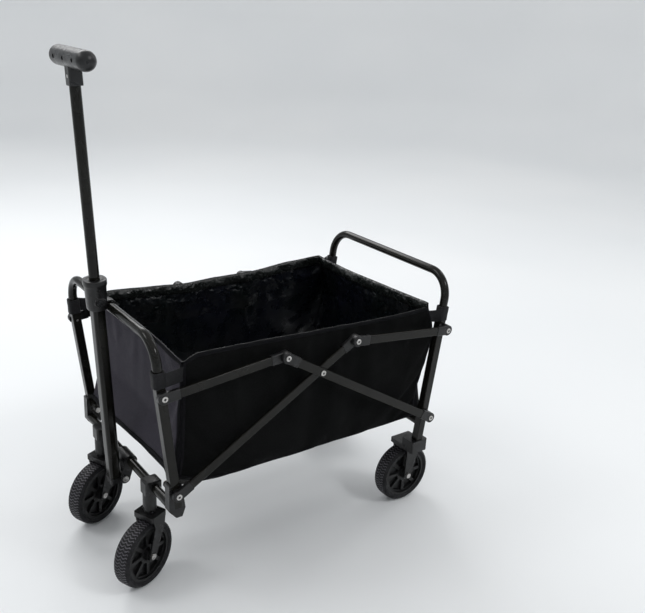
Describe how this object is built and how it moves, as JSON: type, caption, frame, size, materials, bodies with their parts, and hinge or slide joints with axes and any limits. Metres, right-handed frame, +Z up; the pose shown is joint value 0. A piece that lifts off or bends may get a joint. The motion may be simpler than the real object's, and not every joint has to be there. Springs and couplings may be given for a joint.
{
  "type": "folding wagon",
  "caption": "Folding wagon with a cloth bag on a scissor frame, a telescopic pull handle, swivelling front wheels and fixed rear wheels.",
  "frame": {"origin": "on the ground, under the middle of the whole wagon", "axes": "+Z up; X along the wagon with the pull handle at -X; Y across it, the left side at -Y"},
  "size_m": [0.8616, 0.5254, 1.1264],
  "materials": {
    "bag_cloth": "black woven polyester, coated inside",
    "black_plastic": "fine-textured black plastic",
    "black_tube": "semi-gloss black powder coat on steel tube",
    "bright_metal": "zinc-plated rivets and bolts",
    "floor_board": "black stiffening board",
    "grip_plastic": "satin black plastic",
    "hub_plastic": "matte black plastic",
    "tyre": "black tread with raised pattern",
    "webbing": "black webbing"
  },
  "bodies": {
    "front_frame": {"front_hoop": "black_tube", "front_legs": "black_tube", "front_cross_tube": "black_tube", "front_feet": "black_plastic", "front_leg_bands": "webbing", "front_frame_rivets": "bright_metal", "caster_housings": "black_plastic", "handle_bracket": "black_plastic", "handle_pivot_bolt": "bright_metal", "bag_front_wall": "bag_cloth", "bag_side_left": "bag_cloth", "bag_side_right": "bag_cloth"},
    "rear_frame": {"rear_hoop": "black_tube", "rear_legs": "black_tube", "rear_cross_tube": "black_tube", "rear_leg_bands": "webbing", "rear_frame_rivets": "bright_metal", "rear_fork_left": "black_plastic", "rear_fork_right": "black_plastic", "rear_axles": "bright_metal", "bag_rear_wall": "bag_cloth"},
    "front_brace_pair": {"front_braces": "black_tube", "front_brace_caps": "black_plastic", "scissor_rivets": "bright_metal"},
    "rear_brace_pair": {"rear_braces": "black_tube", "rear_brace_caps": "black_plastic", "front_elbow_rivets": "bright_metal"},
    "front_top_link_pair": {"front_top_links": "black_tube", "front_top_link_caps": "black_plastic"},
    "rear_top_link_pair": {"rear_top_links": "black_tube", "rear_top_link_caps": "black_plastic", "rear_elbow_rivets": "bright_metal"},
    "front_floor": {"front_floor_rails": "black_tube", "front_floor_board": "floor_board", "front_floor_bars": "black_tube", "bag_front_floor": "bag_cloth"},
    "rear_floor": {"rear_floor_rails": "black_tube", "rear_floor_board": "floor_board", "rear_floor_bars": "black_tube", "bag_rear_floor": "bag_cloth", "closing_straps": "webbing"},
    "handle_outer": {"handle_outer_tube": "black_tube", "handle_knuckle": "black_plastic", "handle_collar": "black_plastic"},
    "handle_inner": {"handle_inner_tube": "black_tube", "handle_grip": "grip_plastic", "grip_screws": "bright_metal"},
    "lock_button": {"lock_button": "grip_plastic"},
    "caster_left": {"caster_fork_left": "black_plastic", "caster_axle_left": "bright_metal"},
    "front_wheel_left": {"front_hub_left": "hub_plastic", "front_tyre_left": "tyre"},
    "rear_wheel_left": {"rear_hub_left": "hub_plastic", "rear_tyre_left": "tyre"},
    "caster_right": {"caster_fork_right": "black_plastic", "caster_axle_right": "bright_metal"},
    "front_wheel_right": {"front_hub_right": "hub_plastic", "front_tyre_right": "tyre"},
    "rear_wheel_right": {"rear_hub_right": "hub_plastic", "rear_tyre_right": "tyre"}
  },
  "joints": [
    {"name": "fold", "type": "hinge", "parent": "front_frame", "child": "front_brace_pair", "pos_m": [-0.31737, 0, 0.2623], "axis": [0, -1, 0], "range_deg": [0, 44.3], "deforming": ["bag_side_left", "bag_side_right"]},
    {"name": "scissor_crossing", "type": "hinge", "parent": "front_brace_pair", "child": "rear_brace_pair", "pos_m": [0.02658, 0, 0.46652], "axis": [0, -1, 0], "range_deg": [-88.61, 0.01]},
    {"name": "rear_frame_pivot", "type": "hinge", "parent": "rear_brace_pair", "child": "rear_frame", "pos_m": [0.37052, 0, 0.2623], "axis": [0, -1, 0], "range_deg": [-0.01, 44.31]},
    {"name": "front_top_link_pivot", "type": "hinge", "parent": "front_frame", "child": "front_top_link_pair", "pos_m": [-0.34528, 0, 0.49301], "axis": [0, -1, 0], "range_deg": [-0.01, 62.44]},
    {"name": "rear_top_link_pivot", "type": "hinge", "parent": "rear_frame", "child": "rear_top_link_pair", "pos_m": [0.39844, 0, 0.49301], "axis": [0, -1, 0], "range_deg": [-62.44, 0.01]},
    {"name": "front_floor_pivot", "type": "hinge", "parent": "front_frame", "child": "front_floor", "pos_m": [-0.31737, 0, 0.2623], "axis": [0, -1, 0], "range_deg": [-0.01, 72.49], "deforming": ["bag_front_floor"]},
    {"name": "rear_floor_pivot", "type": "hinge", "parent": "rear_frame", "child": "rear_floor", "pos_m": [0.37052, 0, 0.2623], "axis": [0, -1, 0], "range_deg": [-72.49, 0.01], "deforming": ["bag_rear_floor"]},
    {"name": "caster_swivel_left", "type": "hinge", "parent": "front_frame", "child": "caster_left", "pos_m": [-0.33287, -0.1374, 0.18], "axis": [0, 0, 1], "continuous": true},
    {"name": "front_wheel_left_spin", "type": "hinge", "parent": "caster_left", "child": "front_wheel_left", "pos_m": [-0.35479, -0.14716, 0.0765], "axis": [-0.4067, 0.9135, 0], "continuous": true},
    {"name": "rear_wheel_left_spin", "type": "hinge", "parent": "rear_frame", "child": "rear_wheel_left", "pos_m": [0.35532, -0.187, 0.0765], "axis": [0, 1, 0], "continuous": true},
    {"name": "caster_swivel_right", "type": "hinge", "parent": "front_frame", "child": "caster_right", "pos_m": [-0.33287, 0.1374, 0.18], "axis": [0, 0, 1], "continuous": true},
    {"name": "front_wheel_right_spin", "type": "hinge", "parent": "caster_right", "child": "front_wheel_right", "pos_m": [-0.35479, 0.12764, 0.0765], "axis": [-0.4067, 0.9135, 0], "continuous": true},
    {"name": "rear_wheel_right_spin", "type": "hinge", "parent": "rear_frame", "child": "rear_wheel_right", "pos_m": [0.35532, 0.187, 0.0765], "axis": [0, 1, 0], "continuous": true},
    {"name": "handle_tilt", "type": "hinge", "parent": "front_frame", "child": "handle_outer", "pos_m": [-0.33949, 0, 0.19], "axis": [0, -1, 0], "range_deg": [0, 95]},
    {"name": "handle_slide", "type": "slide", "parent": "handle_outer", "child": "handle_inner", "axis": [-0.0489, 0, 0.9988], "range_m": [-0.27, 0]},
    {"name": "lock_button_press", "type": "slide", "parent": "handle_outer", "child": "lock_button", "axis": [0, 1, 0], "range_m": [0, 0.0025], "stiffness_N_per_m": 300}
  ],
  "couplings": [
    {"joint": "scissor_crossing", "follows": "fold", "ratio": -2},
    {"joint": "rear_frame_pivot", "follows": "fold", "ratio": 1},
    {"joint": "front_top_link_pivot", "follows": "fold", "ratio": 1.4093},
    {"joint": "rear_top_link_pivot", "follows": "fold", "ratio": -1.4093},
    {"joint": "front_floor_pivot", "follows": "fold", "ratio": 1.6362},
    {"joint": "rear_floor_pivot", "follows": "fold", "ratio": -1.6362}
  ]
}
